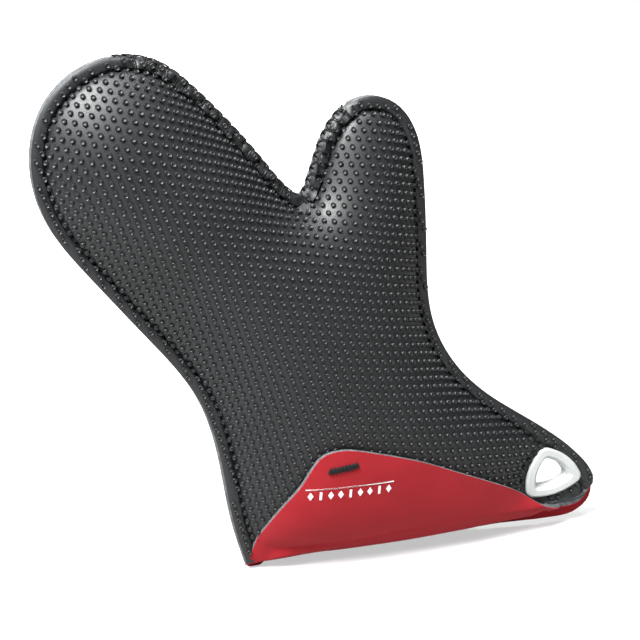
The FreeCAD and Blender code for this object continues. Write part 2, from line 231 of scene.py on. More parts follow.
def mouth_profile(x, depth):
    """Stand-off of the cuff's edge: nothing at both ends, depth in the middle."""
    across = np.clip((x - MOUTH_LEFT) / (MOUTH_RIGHT - MOUTH_LEFT), 0, 1)
    return depth * np.sin(np.pi * across) ** 0.7


# %% Relax each panel
RELAX_PASSES = 420
OVERSHOOT = 1.85
CALM_REACH = 62.0 * MM


def swelling(puff, mouth_depth, mouth_top):
    """Grid of heights of one panel's inner face over the seam plane."""
    sewn = ~grid_inside | (grid_gap < ALLOWANCE) | (from_eyelet < EYELET_PAD)
    mouth = ~sewn & (grid_points[..., 1] <= mouth_top)
    free = ~sewn & ~mouth
    free[0] = free[-1] = False
    free[:, 0] = free[:, -1] = False
    heights = np.where(mouth, mouth_profile(grid_points[..., 0], mouth_depth), 0.0)
    calm = 1 - 0.75 * np.exp(-(from_eyelet / CALM_REACH) ** 2)
    load = puff / REACH ** 2 * CELL ** 2 * calm
    stiffness = 4 + (CELL / REACH) ** 2
    parity = np.add.outer(np.arange(shape[0]), np.arange(shape[1])) % 2
    colours = [free & (parity == k) for k in range(2)]
    for _ in range(RELAX_PASSES):
        for colour in colours:
            around = np.zeros(shape)
            around[1:-1, 1:-1] = (heights[2:, 1:-1] + heights[:-2, 1:-1]
                                  + heights[1:-1, 2:] + heights[1:-1, :-2])
            change = (around + load) / stiffness - heights
            heights = np.where(colour, heights + OVERSHOOT * change, heights)
    return heights


front_heights = swelling(FRONT_PUFF, FRONT_MOUTH, FRONT_MOUTH_TOP)
back_heights = swelling(BACK_PUFF, BACK_MOUTH, 0.0)
print("swelling: front %.1f mm, back %.1f mm" % (front_heights.max() / MM, back_heights.max() / MM))


# %% Read a grid smoothly
def sample(grid, x, z):
    """Smooth value of a grid at points."""
    u = np.clip((x - GRID_X[0]) / CELL, 1, shape[0] - 3.001)
    v = np.clip((z - GRID_Z[0]) / CELL, 1, shape[1] - 3.001)
    i, j = u.astype(int), v.astype(int)
    value = np.zeros_like(u)

    def weights(t):
        return ((1 - t) ** 3 / 6, (3 * t ** 3 - 6 * t ** 2 + 4) / 6,
                (-3 * t ** 3 + 3 * t ** 2 + 3 * t + 1) / 6, t ** 3 / 6)

    across, up = weights(u - i), weights(v - j)
    for a in range(4):
        for b in range(4):
            value += across[a] * up[b] * grid[i + a - 1, j + b - 1]
    return value


# %% [markdown]
# ## From the flat pattern to the standing mitt
# The sheet is foam between two skins, so it thins where stitches squeeze it: a groove with a dent
# at each stitch, knobs where the thick thread wraps the edge, and a sunk ring round the eyelet. A
# displacement map could fake that, but here one function gives the thickness at any place, so the
# skin, the foam and the lining all follow it. Depth 0 is the lining's face and LAMINATE the skin's.

# %% How much the stitches squeeze the sheet
OVERCAST_START = knot_distance[FINGERTIP]
OVERCAST_END = knot_distance[THUMB_TIP]


def smooth(t):
    t = np.clip(t, 0, 1)
    return t * t * (3 - 2 * t)


def squeeze(x, z, side):
    """Thickness of the sheet as a share: the groove, its stitches, the edge and the overcast."""
    gap, run = edge_distance(np.stack([x, z], axis=1))
    stitch = 0.5 + 0.5 * np.cos(2 * np.pi * run / STITCH_PITCH)
    locked = 1 - (smooth((run - OVERCAST_START) / (8 * MM)) - smooth((run - OVERCAST_END) / (8 * MM)))
    groove = np.exp(-((gap - ALLOWANCE) / (1.7 * MM)) ** 2)
    share = 1 - (0.40 + 0.10 * stitch * locked) * groove
    share -= 0.22 * np.exp(-gap / (0.7 * MM))
    swell = np.exp(-((gap - 4.5 * MM) / (3 * MM)) ** 2)
    share += 0.10 * swell * locked
    wrap = (1 - locked) * (1 - smooth((gap - 6 * MM) / (3 * MM)))
    lump = np.abs(np.sin(np.pi * (run / OVERCAST_PITCH + 0.25 * side)))
    wander = np.sin(run / (4.1 * MM)) * np.sin(gap / (1.9 * MM) + run / (7.3 * MM))
    share += wrap * (0.50 * lump - 0.16 + 0.36 * wander)
    from_centre = np.hypot(x - EYELET[0], z - EYELET[1])
    share *= 1 - 0.42 * (1 - smooth((from_centre - 17 * MM) / (9 * MM)))
    return share, gap, run


# %% How the cut edge rounds over
def rim_shift(side, depth, gap, run):
    """Sideways shift near the cut edge: the lining is cut back, the overcast rim is knobbly."""
    inward = np.stack([np.interp(run, edge_run, edge_inward[:, k]) for k in range(2)], axis=1)
    near = np.clip(1 - gap / (2.2 * MM), 0, 1)
    locked = 1 - (smooth((run - OVERCAST_START) / (8 * MM)) - smooth((run - OVERCAST_END) / (8 * MM)))
    cut_back = (0.9 + 3.0 * (1 - locked)) * MM * near * (depth < LINING * 1.01)
    lump = np.abs(np.sin(np.pi * (run / OVERCAST_PITCH + 0.25 * side)))
    round_off = np.clip(depth / LAMINATE, 0, 1) ** 3
    bulge = (1 - locked) * near * (0.9 * MM * lump * (1 - round_off) - 1.1 * MM * round_off)
    return inward * (cut_back - bulge)[:, None]


# %% Places on a panel
def panel_face(heights, side, x, z, depth, with_squeeze=True):
    """Place on a panel at a depth, and its outward direction. side is -1 front and 1 back."""
    d = 0.5 * MM
    share, gap, run = squeeze(x, z, side)
    if not with_squeeze:
        share = 1.0
    height = sample(heights, x, z)
    slope_x = (sample(heights, x + d, z) - sample(heights, x - d, z)) / (2 * d)
    slope_z = (sample(heights, x, z + d) - sample(heights, x, z - d)) / (2 * d)
    k = np.sqrt(1 + slope_x ** 2 + slope_z ** 2)
    outward = np.stack([-slope_x / k, side / k, -slope_z / k], axis=1)
    base = np.stack([x, side * (HALF_GAP + height), z], axis=1)
    place = base + outward * (depth * share)[:, None]
    if with_squeeze:
        shift = rim_shift(side, depth, gap, run)
        place[:, 0] += shift[:, 0]
        place[:, 2] += shift[:, 1]
    return place, outward


# %% [markdown]
# ## The folded tongue
# The front panel's cuff turns outwards in a soft bend, runs a little way as the fold's underside,
# and turns up at a sharper crease into the tongue, which leans against the palm. Bending a mesh
# with a Simple Deform modifier gives one radius only. Here the section is written down as bend,
# underside and crease, with sizes that change along the cuff. A point of the front's pattern is
# (x, w): w is the height on the panel, and below the fold it goes on counting along the sheet.

# %% Sizes of the fold
FOLD_BEND = 7.0 * MM
FOLD_UNDERSIDE = 9.0 * MM
FOLD_CREASE = 1.1 * MM
FOLD_BACK = math.radians(186)

# %% The tongue's outline, as shares of the width and of the tongue's height
TONGUE_EDGE = np.array([
    (-0.180, 0.010), (-0.169, 0.050), (-0.157, 0.190), (-0.142, 0.385), (-0.119, 0.580), (-0.094, 0.745),
    (-0.077, 0.885), (-0.062, 0.965), (-0.044, 0.995), (-0.020, 1.000), (0.008, 0.975),
    (0.075, 0.888), (0.129, 0.801), (0.187, 0.685), (0.263, 0.529), (0.344, 0.333),
    (0.370, 0.255), (0.400, 0.190),
]) * (WIDTH, TONGUE_TOP)


# %% How the fold changes along the cuff
def fold_scale(x):
    """The fold is tight at its left corner and full from the middle on."""
    corner = 0.18 + 0.42 * smooth((x + 0.172 * WIDTH) / (0.08 * WIDTH))
    return corner + 0.40 * smooth((x + 0.12 * WIDTH) / (0.25 * WIDTH))


def fold_turn(x):
    """Heading of the fold's underside: nearly flat at the left, steeper to the right."""
    return math.radians(122) + math.radians(24) * smooth((x + 0.17 * WIDTH) / (0.34 * WIDTH))


def fold_lift(x):
    """Height of the fold's lowest line over the floor."""
    near = 1 - (1 - np.clip((x + 0.185 * WIDTH) / (0.17 * WIDTH), 0, 1)) ** 2
    return 0.8 * MM + 5.9 * MM * near + 2.6 * MM * smooth((x + 0.03 * WIDTH) / (0.26 * WIDTH))


# %% The lip beside the eyelet, where the front sheet isn't folded
FREE_EDGE = np.concatenate([TONGUE_EDGE[:-2], np.array([
    (0.370, 20.3), (0.393, 15.8), (0.416, 12.7), (0.433, 11.7), (0.453, 12.4), (0.473, 15.2),
    (0.489, 19.9), (0.504, 27.0),
]) * (WIDTH, MM)])
free_edge, _ = spline(FREE_EDGE, 600)
LIP_LOW = 0.425 * WIDTH


def edge_height(x):
    """Height of the front sheet's free edge: the tongue's outline, then the lip by the eyelet."""
    return np.interp(x, free_edge[:, 0], free_edge[:, 1])


def lowest_line(x):
    """Height of the lowest line of the fold, and then of the lip, over the floor."""
    past = smooth((x - 0.375 * WIDTH) / (0.05 * WIDTH))
    return (1 - past) * fold_lift(x) + past * edge_height(np.maximum(x, LIP_LOW))


# %% The fold's section
def fold_shape(x):
    """Radius of the first bend, its turn, the underside's length and the crease's radius."""
    scale = fold_scale(x) * (1 - 0.30 * smooth((x - 0.22 * WIDTH) / (0.16 * WIDTH)))
    bend = np.maximum(FOLD_BEND * scale, 4.4 * MM * smooth((x + 0.165 * WIDTH) / (0.09 * WIDTH)))
    return np.maximum(bend, 1.0 * MM), fold_turn(x), FOLD_UNDERSIDE * scale, FOLD_CREASE * scale


def fold_start(x):
    """Height at which the front panel starts to turn outwards."""
    return lowest_line(x) + fold_shape(x)[0]


def fold_run(x):
    """Length of sheet from the start of the fold to the tongue's flat."""
    bend, turn, underside, crease = fold_shape(x)
    return bend * turn + underside + crease * (FOLD_BACK - turn)


def fold_section(x, run):
    """Offset (y, z) from the fold's start and heading angle, after a run of sheet."""
    bend, turn, underside, crease = fold_shape(x)
    turned = np.clip(run / bend, 0, turn)
    y = -bend * (1 - np.cos(turned))
    z = -bend * np.sin(turned)
    along = np.clip(run - bend * turn, 0, underside)
    y = y - along * np.sin(turn)
    z = z - along * np.cos(turn)
    rest = np.clip(run - bend * turn - underside, 0, crease * (FOLD_BACK - turn))
    angle = turn + rest / crease
    y = y - crease * (np.cos(turn) - np.cos(angle))
    z = z - crease * (np.sin(angle) - np.sin(turn))
    heading = np.where(rest > 0, angle, turned)
    return y, z, heading


# %% How much sheet goes round the fold and up the tongue
def tongue_length(x):
    """Sheet beyond the start of the fold, up to the free edge."""
    start = fold_start(x)
    total = fold_run(x)
    crease_z = fold_section(x, total)[1]
    drop = edge_height(x) - start
    flat = total + np.maximum(drop - crease_z, 0.0)
    bend = fold_shape(x)[0]
    flare = math.radians(80) - math.radians(55) * smooth((x - 0.465 * WIDTH) / (0.035 * WIDTH))
    shortest = bend * flare
    rolled = shortest.copy()
    for share in np.linspace(0, 1, 60):
        run = shortest + (total - shortest) * share
        rolled = np.where(fold_section(x, run)[1] < drop, run, rolled)
    return np.where(drop > crease_z, flat, rolled)


# %% Places on the front sheet
def front_face(x, w, depth, with_squeeze=True):
    """Place on the front sheet at a depth, and the direction from its lining to its skin."""
    start = fold_start(x)
    on_panel = w >= start
    z_panel = np.where(on_panel, w, start)
    place, outward = panel_face(front_heights, -1, x, z_panel, depth, with_squeeze)
    root, _ = panel_face(front_heights, -1, x, start, np.zeros_like(x), False)
    run = np.maximum(start - w, 0)
    total = fold_run(x)
    y, z, heading = fold_section(x, np.minimum(run, total))
    inwards = np.stack([np.zeros_like(x), -np.cos(heading), np.sin(heading)], axis=1)
    fold = root + np.stack([np.zeros_like(x), y, z], axis=1) + inwards * depth[:, None]
    crease_y, crease_z, _ = fold_section(x, total)
    climb = np.maximum(run - total, 0)
    z_flat = start + crease_z + climb
    flat_top = 60 * MM
    skin_y = -(HALF_GAP + sample(front_heights, x, z_flat) + 2 * LAMINATE)
    crease_root = -(HALF_GAP + sample(front_heights, x, start + crease_z) + 2 * LAMINATE)
    crease_gap = crease_root - (root[:, 1] + crease_y)
    share = np.clip(climb / np.maximum(flat_top - start - crease_z, 4 * MM), 0, 1)
    gap = 1.0 * MM + (crease_gap - 1.0 * MM) * (1 - share) ** 2
    flat = np.stack([x, skin_y - gap + depth, z_flat], axis=1)
    towards_panel = np.zeros_like(flat)
    towards_panel[:, 1] = 1.0
    on_fold = (run > 0) & (run <= total)
    on_flat = run > total
    place = np.where(on_fold[:, None], fold, np.where(on_flat[:, None], flat, place))
    outward = np.where(on_fold[:, None], inwards, np.where(on_flat[:, None], towards_panel, outward))
    return place, outward


# %% [markdown]
# ## Patterns
# Each panel is cut flat and then bent into place, as the real one is. Subdividing a face would
# give a net that cuts across the seam, so the pattern is filled with a Delaunay net instead: rows
# follow the edge, the groove and the fold's creases, so that those stay crisp, and the rest is an
# even lattice of triangles.

# %% Spacing of the net
NET = 2.3 * MM
EDGE_ROWS = np.array([1.2, 2.6, 4.4, 6.2, 7.4, 8.3, 9.1, 10.0, 11.1, 12.6, 14.4]) * MM
ROW_STEP = 1.9 * MM
CREASE_STEP = 1.6 * MM

# %% The eyelet's three-cornered outline
EYELET_STRETCH = (1.10, 0.92)


def eyelet_outline(radius, corner, count=90):
    """Three-cornered outline with gently bulging sides and rounded corners, about the eyelet."""
    reach = radius - corner
    swing = 2.2 * reach
    half_side = math.asin(reach * math.sin(math.radians(60)) / swing)
    hub = (math.sqrt(4 * swing ** 2 - 3 * reach ** 2) - reach) / 2
    steps = count // 6
    points = []
    for k in range(3):
        vertex = math.radians(105 + 120 * k)
        centre = np.array([math.cos(vertex), math.sin(vertex)]) * reach
        for t in np.linspace(-1, 1, steps, endpoint=False):
            angle = vertex + t * (math.radians(60) - half_side)
            points.append(centre + corner * np.array([math.cos(angle), math.sin(angle)]))
        outward = vertex + math.radians(60)
        side_hub = -np.array([math.cos(outward), math.sin(outward)]) * hub
        for t in np.linspace(-1, 1, steps, endpoint=False):
            angle = outward + t * half_side
            arm = (swing + corner) * np.array([math.cos(angle), math.sin(angle)])
            points.append(side_hub + arm)
    return np.array(points) * EYELET_STRETCH + EYELET


# %% Fill an outline with triangles
def net(border, hole, creases=None):
    """Triangles that fill a border, without a hole. Returns points, triangles."""
    rows = [border, hole]
    for inset in EDGE_ROWS:
        line = edge_point(np.arange(0, EDGE_LENGTH, ROW_STEP), inset)
        gap, _ = edge_distance(line)
        rows.append(line[gap > inset - 0.15 * MM])
    xs = np.arange(-WIDTH / 2, WIDTH / 2, NET)
    zs = np.arange(border[:, 1].min(), HEIGHT, NET * math.sqrt(3) / 2)
    lattice = np.array([(x + NET / 2 * (k % 2), z) for k, z in enumerate(zs) for x in xs])
    lattice = lattice[edge_distance(lattice)[0] > EDGE_ROWS[-1] + 0.8 * MM]
    if creases is not None:
        near = np.array([np.hypot(*(creases - p).T).min() for p in lattice])
        lattice = lattice[near > 1.3 * MM]
        rows.append(creases)
    rows.append(lattice)
    points = np.concatenate(rows)
    fixed = len(border) + len(hole)
    inner = points[fixed:]
    keep = np.concatenate([within(inner[k:k + 6000], border) for k in range(0, len(inner), 6000)])
    keep &= ~within(inner, hole)
    near_border = np.array([np.hypot(*(border - p).T).min() for p in inner[keep]])
    inner = inner[keep][near_border > 0.8 * MM]
    near_hole = np.hypot(inner[:, 0, None] - hole[:, 0], inner[:, 1, None] - hole[:, 1]).min(1)
    inner = inner[near_hole > 0.8 * MM]
    points = np.concatenate([border, hole, inner])
    loops = [(i, (i + 1) % len(border)) for i in range(len(border))]
    first = len(border)
    loops += [(first + i, first + (i + 1) % len(hole)) for i in range(len(hole))]
    scaled = [Vector((float(p[0]), float(p[1]))) * 1000 for p in points]
    verts, _, faces, _, _, _ = delaunay_2d_cdt(scaled, loops, [], 0, 1e-4)
    verts = np.array([tuple(v) for v in verts]) / 1000
    faces = np.array([f for f in faces if len(f) == 3])
    centres = verts[faces].mean(1)
    inside = np.concatenate([within(centres[k:k + 6000], border)
                             for k in range(0, len(centres), 6000)])
    faces = faces[inside & ~within(centres, hole)]
    used = np.unique(faces)
    index = np.full(len(verts), -1)
    index[used] = np.arange(len(used))
    return verts[used], index[faces]


# %% The back's pattern
hole = eyelet_outline(13.9 * MM, 4.4 * MM)


def hem_rise(x):
    """The back panel's hem lifts a little off the floor towards the eyelet."""
    return 4.0 * MM * smooth((x - 0.02 * WIDTH) / (0.20 * WIDTH))


back_border = np.concatenate([
    edge[::3],
    np.stack([np.linspace(edge[-1, 0], edge[0, 0], 104)[1:-1], np.zeros(102)], axis=1),
])
back_border[:, 1] = np.maximum(back_border[:, 1], hem_rise(back_border[:, 0]))
back_points, back_triangles = net(back_border, hole)

# %% The front's pattern, with its tongue
right_side = edge_run > knot_distance[26]
above_left = edge[:, 1] > fold_start(edge[:, 0]) + 0.5 * MM
sewn = edge[(above_left & ~right_side) | (right_side & above_left)][::3]
hem_x = np.arange(sewn[-1, 0] - 0.4 * MM, sewn[0, 0], -ROW_STEP)
hem = np.stack([hem_x, fold_start(hem_x) - tongue_length(hem_x)], axis=1)
left_rise = np.arange(hem[-1, 1] + 2 * MM, sewn[0, 1] - 1 * MM, 2 * MM)
left_side = np.stack([np.interp(left_rise, [hem[-1, 1], sewn[0, 1]], [hem[-1, 0], sewn[0, 0]]),
                      left_rise], axis=1)
front_border = np.concatenate([sewn, hem, left_side])
crease_x = np.arange(-0.155 * WIDTH, 0.36 * WIDTH, CREASE_STEP)
bend, turn, underside, crease = fold_shape(crease_x)
crease_runs = [bend * turn * 0.5, bend * turn, bend * turn + underside * 0.5,
               bend * turn + underside, fold_run(crease_x)]
crease_rows = np.concatenate([np.stack([crease_x, fold_start(crease_x) - run], axis=1)
                              for run in crease_runs])
front_points, front_triangles = net(front_border, hole, crease_rows)
print("nets: front %d points, back %d points" % (len(front_points), len(back_points)))

# %% [markdown]
# ## Making meshes
# Everything here is worked out as arrays of points, so one helper turns arrays into an object:
# smooth, with its cut edges left sharp. bmesh could do the same point by point, but from_pydata is
# quicker for a large mesh. The helper also says what the piece rides on, which part it stands for
# and which finish it takes.

# %% From arrays to an object
def piece(name, points, faces, material, replaced=(), sharp=50.0):
    """Object from arrays that rides on the mitt."""
    mesh = bpy.data.meshes.new(name)
    mesh.from_pydata([tuple(p) for p in points], [], [tuple(int(k) for k in f) for f in faces])
    mesh.validate()
    mesh.shade_smooth()
    mesh.set_sharp_from_angle(angle=math.radians(sharp))
    mesh.materials.append(material)
    obj = bpy.data.objects.new(name, mesh)
    bpy.context.scene.collection.objects.link(obj)
    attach(obj, "root")
    if replaced:
        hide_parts(*replaced)
    print("%-22s %6d points %6d faces" % (name, len(mesh.vertices), len(mesh.polygons)))
    return obj


# %% A closed sheet between two faces
def closed_sheet(lower, upper, triangles, flip):
    """Closed solid between two faces that share one net."""
    n = len(lower)
    directed = np.concatenate([triangles[:, [0, 1]], triangles[:, [1, 2]], triangles[:, [2, 0]]])
    key = directed[:, 0] * n + directed[:, 1]
    back = directed[:, 1] * n + directed[:, 0]
    rim = directed[~np.isin(key, back)]
    top = triangles + n
    bottom = triangles[:, ::-1]
    walls = [(a, b, b + n, a + n) for a, b in rim]
    faces = [tuple(f) for f in top] + [tuple(f) for f in bottom] + walls
    if flip:
        faces = [f[::-1] for f in faces]
    return np.concatenate([lower, upper]), faces


# %% [markdown]
# ## Colours and nodes
# Every finish is a small tree of nodes, so it can be made at any scale and needs no picture. Colours
# are picked as sRGB hex values and turned to linear, which is what the shader works in. One
# function adds a node with its settings and links. Two more turn a real size into the number that
# a noise or a wave texture wants.

# %% Colour, and real sizes to texture scales
def linear(colour):
    """Linear RGBA from an sRGB hex colour."""
    parts = [int(colour[k:k + 2], 16) / 255 for k in (1, 3, 5)]
    return [c / 12.92 if c <= 0.04045 else ((c + 0.055) / 1.055) ** 2.4 for c in parts] + [1.0]


def grain(size):
    """Scale of a noise or cell texture whose features have a size in millimetres."""
    return 1000 / size


def bands(period):
    """Scale of a wave texture whose bands repeat at a period in millimetres."""
    return 1000 * math.pi / 10 / period


# %% One function to add a node
class Nodes:
    """A material's node tree."""

    def __init__(self, name):
        self.material = bpy.data.materials.new(name)
        self.material.use_nodes = True
        self.tree = self.material.node_tree
        self.tree.nodes.clear()

    def add(self, kind, settings=None, **inputs):
        """Adds a node with its settings, its ramp's stops, and its links or values."""
        node = self.tree.nodes.new(kind)
        for key, value in (settings or {}).items():
            if key != "stops":
                setattr(node, key, value)
                continue
            elements = node.color_ramp.elements
            for element, (place, colour) in zip(elements, value):
                element.position = place
                element.color = linear(colour) if isinstance(colour, str) else [colour] * 3 + [1]
        for key, value in inputs.items():
            socket = node.inputs[key.replace("_", " ")]
            if isinstance(value, bpy.types.NodeSocket):
                self.tree.links.new(value, socket)
            else:
                socket.default_value = value
        return node

    def finish(self, shader):
        """Links the shader to the output and gives the material."""
        output = self.add("ShaderNodeOutputMaterial")
        self.tree.links.new(shader, output.inputs["Surface"])
        print("material", self.material.name)
        return self.material

# %% [markdown]
# ## Rubber
# The skin is chloroprene rubber, moulded against a fine-blasted steel plate. That gives it a dark
# satin face: a broad soft highlight, faintly mottled where the compound varies, with a grain of
# about a millimetre that breaks the shine. Base colour, roughness and bump each come from noise.

# %% Moulded chloroprene rubber
def rubber():
    """Satin charcoal, faintly mottled, with a fine moulded grain."""
    n = Nodes("charcoal_rubber")
    place = n.add("ShaderNodeTexCoord").outputs["Object"]
    broad = n.add("ShaderNodeTexNoise", Vector=place, Scale=grain(45.45), Detail=4.0)
    fine = n.add("ShaderNodeTexNoise", Vector=place, Scale=grain(1.111), Detail=5.0, Roughness=0.6)
    colour = n.add("ShaderNodeValToRGB", {"stops": [(0.3, "#0E1012"), (0.75, "#17191B")]},
                   Fac=broad.outputs["Fac"])
    gloss = n.add("ShaderNodeValToRGB", {"stops": [(0.25, 0.44), (0.8, 0.58)]},
                  Fac=fine.outputs["Fac"])
    bump = n.add("ShaderNodeBump", Strength=0.25, Distance=0.0002, Height=fine.outputs["Fac"])
    shader = n.add("ShaderNodeBsdfPrincipled", Base_Color=colour.outputs["Color"],
                   Roughness=gloss.outputs["Color"], Normal=bump.outputs["Normal"],
                   Specular_IOR_Level=0.55)
    return n.finish(shader.outputs["BSDF"])


RUBBER = rubber()

# %% [markdown]
# ## Foam
# The core is closed-cell foam, and only its cut edge shows: grey and matt, pitted where the blade
# opened its cells. Voronoi cells of half a millimetre give the pits, and noise the patchy colour.

# %% Closed-cell foam
def foam():
    """Grey, matt and pitted."""
    n = Nodes("foam_core")
    place = n.add("ShaderNodeTexCoord").outputs["Object"]
    cells = n.add("ShaderNodeTexVoronoi", Vector=place, Scale=grain(0.5263))
    patches = n.add("ShaderNodeTexNoise", Vector=place, Scale=grain(3.846), Detail=6.0)
    colour = n.add("ShaderNodeValToRGB", {"stops": [(0.3, "#3F4245"), (0.7, "#66696B")]},
                   Fac=patches.outputs["Fac"])
    bump = n.add("ShaderNodeBump", Strength=0.7, Distance=0.0004,
                 Height=cells.outputs["Distance"])
    shader = n.add("ShaderNodeBsdfPrincipled", Base_Color=colour.outputs["Color"], Roughness=0.9,
                   Normal=bump.outputs["Normal"])
    return n.finish(shader.outputs["BSDF"])


FOAM_CORE = foam()

# %% [markdown]
# ## Knitted lining
# A fine polyester jersey is bonded to the foam. It is matt red with a trace of sheen, and its loops
# stand in columns (wales) and rows (courses). Two wave textures at the real spacing are multiplied
# to give the loops, as bump only, because they are too small to carry shape.

# %% Polyester jersey
def knit():
    """Matt red, with fine ribs and a trace of sheen."""
    n = Nodes("red_jersey")
    place = n.add("ShaderNodeTexCoord").outputs["Object"]
    wales = n.add("ShaderNodeTexWave", {"wave_type": "BANDS", "bands_direction": "X"},
                  Vector=place, Scale=bands(0.748), Distortion=1.5, Detail=2.0)
    courses = n.add("ShaderNodeTexWave", {"wave_type": "BANDS", "bands_direction": "Z"},
                    Vector=place, Scale=bands(0.6042), Distortion=1.5, Detail=2.0)
    loops = n.add("ShaderNodeMath", {"operation": "MULTIPLY"})
    n.tree.links.new(wales.outputs["Fac"], loops.inputs[0])
    n.tree.links.new(courses.outputs["Fac"], loops.inputs[1])
    cloud = n.add("ShaderNodeTexNoise", Vector=place, Scale=grain(33.33), Detail=5.0)
    colour = n.add("ShaderNodeValToRGB", {"stops": [(0.25, "#8E141D"), (0.8, "#9B1A23")]},
                   Fac=cloud.outputs["Fac"])
    bump = n.add("ShaderNodeBump", Strength=0.35, Distance=0.00025, Height=loops.outputs[0])
    shader = n.add("ShaderNodeBsdfPrincipled", Base_Color=colour.outputs["Color"], Roughness=0.82,
                   Normal=bump.outputs["Normal"], Specular_IOR_Level=0.2, Sheen_Weight=0.06,
                   Sheen_Roughness=0.5)
    return n.finish(shader.outputs["BSDF"])


JERSEY = knit()

# %% [markdown]
# ## Thread
# The seams are sewn in spun polyester, near black and matt. The twist of its plies shows as fine
# diagonal bands, drawn by a wave texture a third of a millimetre apart.

# %% Spun polyester thread
def thread():
    """Near black, with the twist of its plies."""
    n = Nodes("black_thread")
    place = n.add("ShaderNodeTexCoord").outputs["Object"]
    plies = n.add("ShaderNodeTexWave", {"wave_type": "BANDS", "bands_direction": "DIAGONAL"},
                  Vector=place, Scale=bands(0.3491), Distortion=2.0)
    colour = n.add("ShaderNodeValToRGB", {"stops": [(0.2, "#060607"), (0.8, "#141516")]},
                   Fac=plies.outputs["Fac"])
    bump = n.add("ShaderNodeBump", Strength=0.6, Distance=0.0002, Height=plies.outputs["Fac"])
    shader = n.add("ShaderNodeBsdfPrincipled", Base_Color=colour.outputs["Color"], Roughness=0.7,
                   Normal=bump.outputs["Normal"], Specular_IOR_Level=0.25, Sheen_Weight=0.03)
    return n.finish(shader.outputs["BSDF"])


BLACK_THREAD = thread()

# %% [markdown]
# ## Ink
# The mark is plastisol ink pressed through a screen: white, thin and matt, with the cloth's
# texture just showing through as a grain of two thirds of a millimetre.

# %% Plastisol ink
def screen_print():
    """White and matt, with a slight grain."""
    n = Nodes("white_ink")
    place = n.add("ShaderNodeTexCoord").outputs["Object"]
    cloth = n.add("ShaderNodeTexNoise", Vector=place, Scale=grain(0.6667), Detail=4.0)
    colour = n.add("ShaderNodeValToRGB", {"stops": [(0.3, "#E2E0DF"), (0.7, "#F4F2F1")]},
                   Fac=cloth.outputs["Fac"])
    bump = n.add("ShaderNodeBump", Strength=0.3, Distance=0.0001, Height=cloth.outputs["Fac"])
    shader = n.add("ShaderNodeBsdfPrincipled", Base_Color=colour.outputs["Color"], Roughness=0.7,
                   Normal=bump.outputs["Normal"])
    return n.finish(shader.outputs["BSDF"])


INK = screen_print()

# %% [markdown]
# ## Plastic
# The eyelet is injection-moulded polypropylene, off-white, with a soft shine and faint marks from
# handling. A little subsurface scattering, two millimetres deep, keeps its edges from looking hard.

# %% Moulded polypropylene
def moulded_plastic():
    """Off-white, smooth, with faint handling marks."""
    n = Nodes("white_plastic")
    place = n.add("ShaderNodeTexCoord").outputs["Object"]
    cloud = n.add("ShaderNodeTexNoise", Vector=place, Scale=grain(14.29), Detail=4.0)
    marks = n.add("ShaderNodeTexNoise", Vector=place, Scale=grain(0.7143), Detail=3.0)
    colour = n.add("ShaderNodeValToRGB", {"stops": [(0.3, "#B4B8B6"), (0.8, "#BFC2C1")]},
                   Fac=cloud.outputs["Fac"])
    gloss = n.add("ShaderNodeValToRGB", {"stops": [(0.3, 0.30), (0.8, 0.44)]},
                  Fac=marks.outputs["Fac"])
    bump = n.add("ShaderNodeBump", Strength=0.08, Distance=0.0001, Height=marks.outputs["Fac"])
    shader = n.add("ShaderNodeBsdfPrincipled", Base_Color=colour.outputs["Color"],
                   Roughness=gloss.outputs["Color"], Normal=bump.outputs["Normal"],
                   Subsurface_Weight=0.15, Subsurface_Radius=(0.002, 0.002, 0.002))
    return n.finish(shader.outputs["BSDF"])


PLASTIC = moulded_plastic()

# %% [markdown]
# ## The bonded sheets
# Each panel is skin, foam and lining, bonded. A Solidify modifier could thicken one surface, but
# the three layers differ in finish and the squeeze changes their thickness, so each is made as a
# closed sheet between two depths, face to face with the next. The lining is cut back a little at
# the sewn edge.

# %% Skin, foam and lining of one panel
def build_sheet(prefix, place, points, triangles, flip):
    """The three closed sheets of a panel."""
    depths = {"lining": (0.0, LINING), "foam": (LINING, LAMINATE - SKIN),
              "skin": (LAMINATE - SKIN, LAMINATE)}
    finishes = {"lining": (JERSEY, "lining"), "foam": (FOAM_CORE, "foam"),
                "skin": (RUBBER, "rubber")}
    for layer, (inner, outer) in depths.items():
        x, w = points[:, 0], points[:, 1]
        lower, _ = place(x, w, np.full(len(x), inner))
        upper, _ = place(x, w, np.full(len(x), outer))
        verts, faces = closed_sheet(lower, upper, triangles, flip)
        material, slot = finishes[layer]
        name = "%s_%s" % (prefix, layer)
        piece(name + "_sheet", verts, faces, material, [name])


# %% Both panels
def back_place(x, z, depth):
    """Places on the back panel, and its outward direction."""
    return panel_face(back_heights, 1, x, z, depth)


def orientation(points, triangles):
    """Whether the net's triangles run anticlockwise."""
    a, b, c = (points[triangles[0, k]] for k in range(3))
    return (b[0] - a[0]) * (c[1] - a[1]) - (b[1] - a[1]) * (c[0] - a[0]) > 0


build_sheet("front", front_face, front_points, front_triangles,
            not orientation(front_points, front_triangles))
build_sheet("back", back_place, back_points, back_triangles,
            orientation(back_points, back_triangles))

# %% [markdown]
# ## Grip dots
# The skin is moulded with short round studs on a hexagonal lattice, each with a dimple in its top.
# A bump map would lose their outline at the edge, so they are real geometry, set square to the
# surface and squeezed in the stitched groove. Instancing them on faces would stretch their spacing
# over the swollen palm. The rubber was moulded flat, so springs between neighbours bring the
# lattice back to its moulded pitch on the curved skin.

# %% One stud, as rings of radius and height
DOT_RINGS = [(1.08, -0.30), (0.97, 0.86), (0.84, 1.0), (0.46, 0.70)]
DOT_SIDES = 10

# %% Settle the lattice on the skin
SPRING = 0.10
DAMPING = 0.93
SETTLING_STEPS = 420


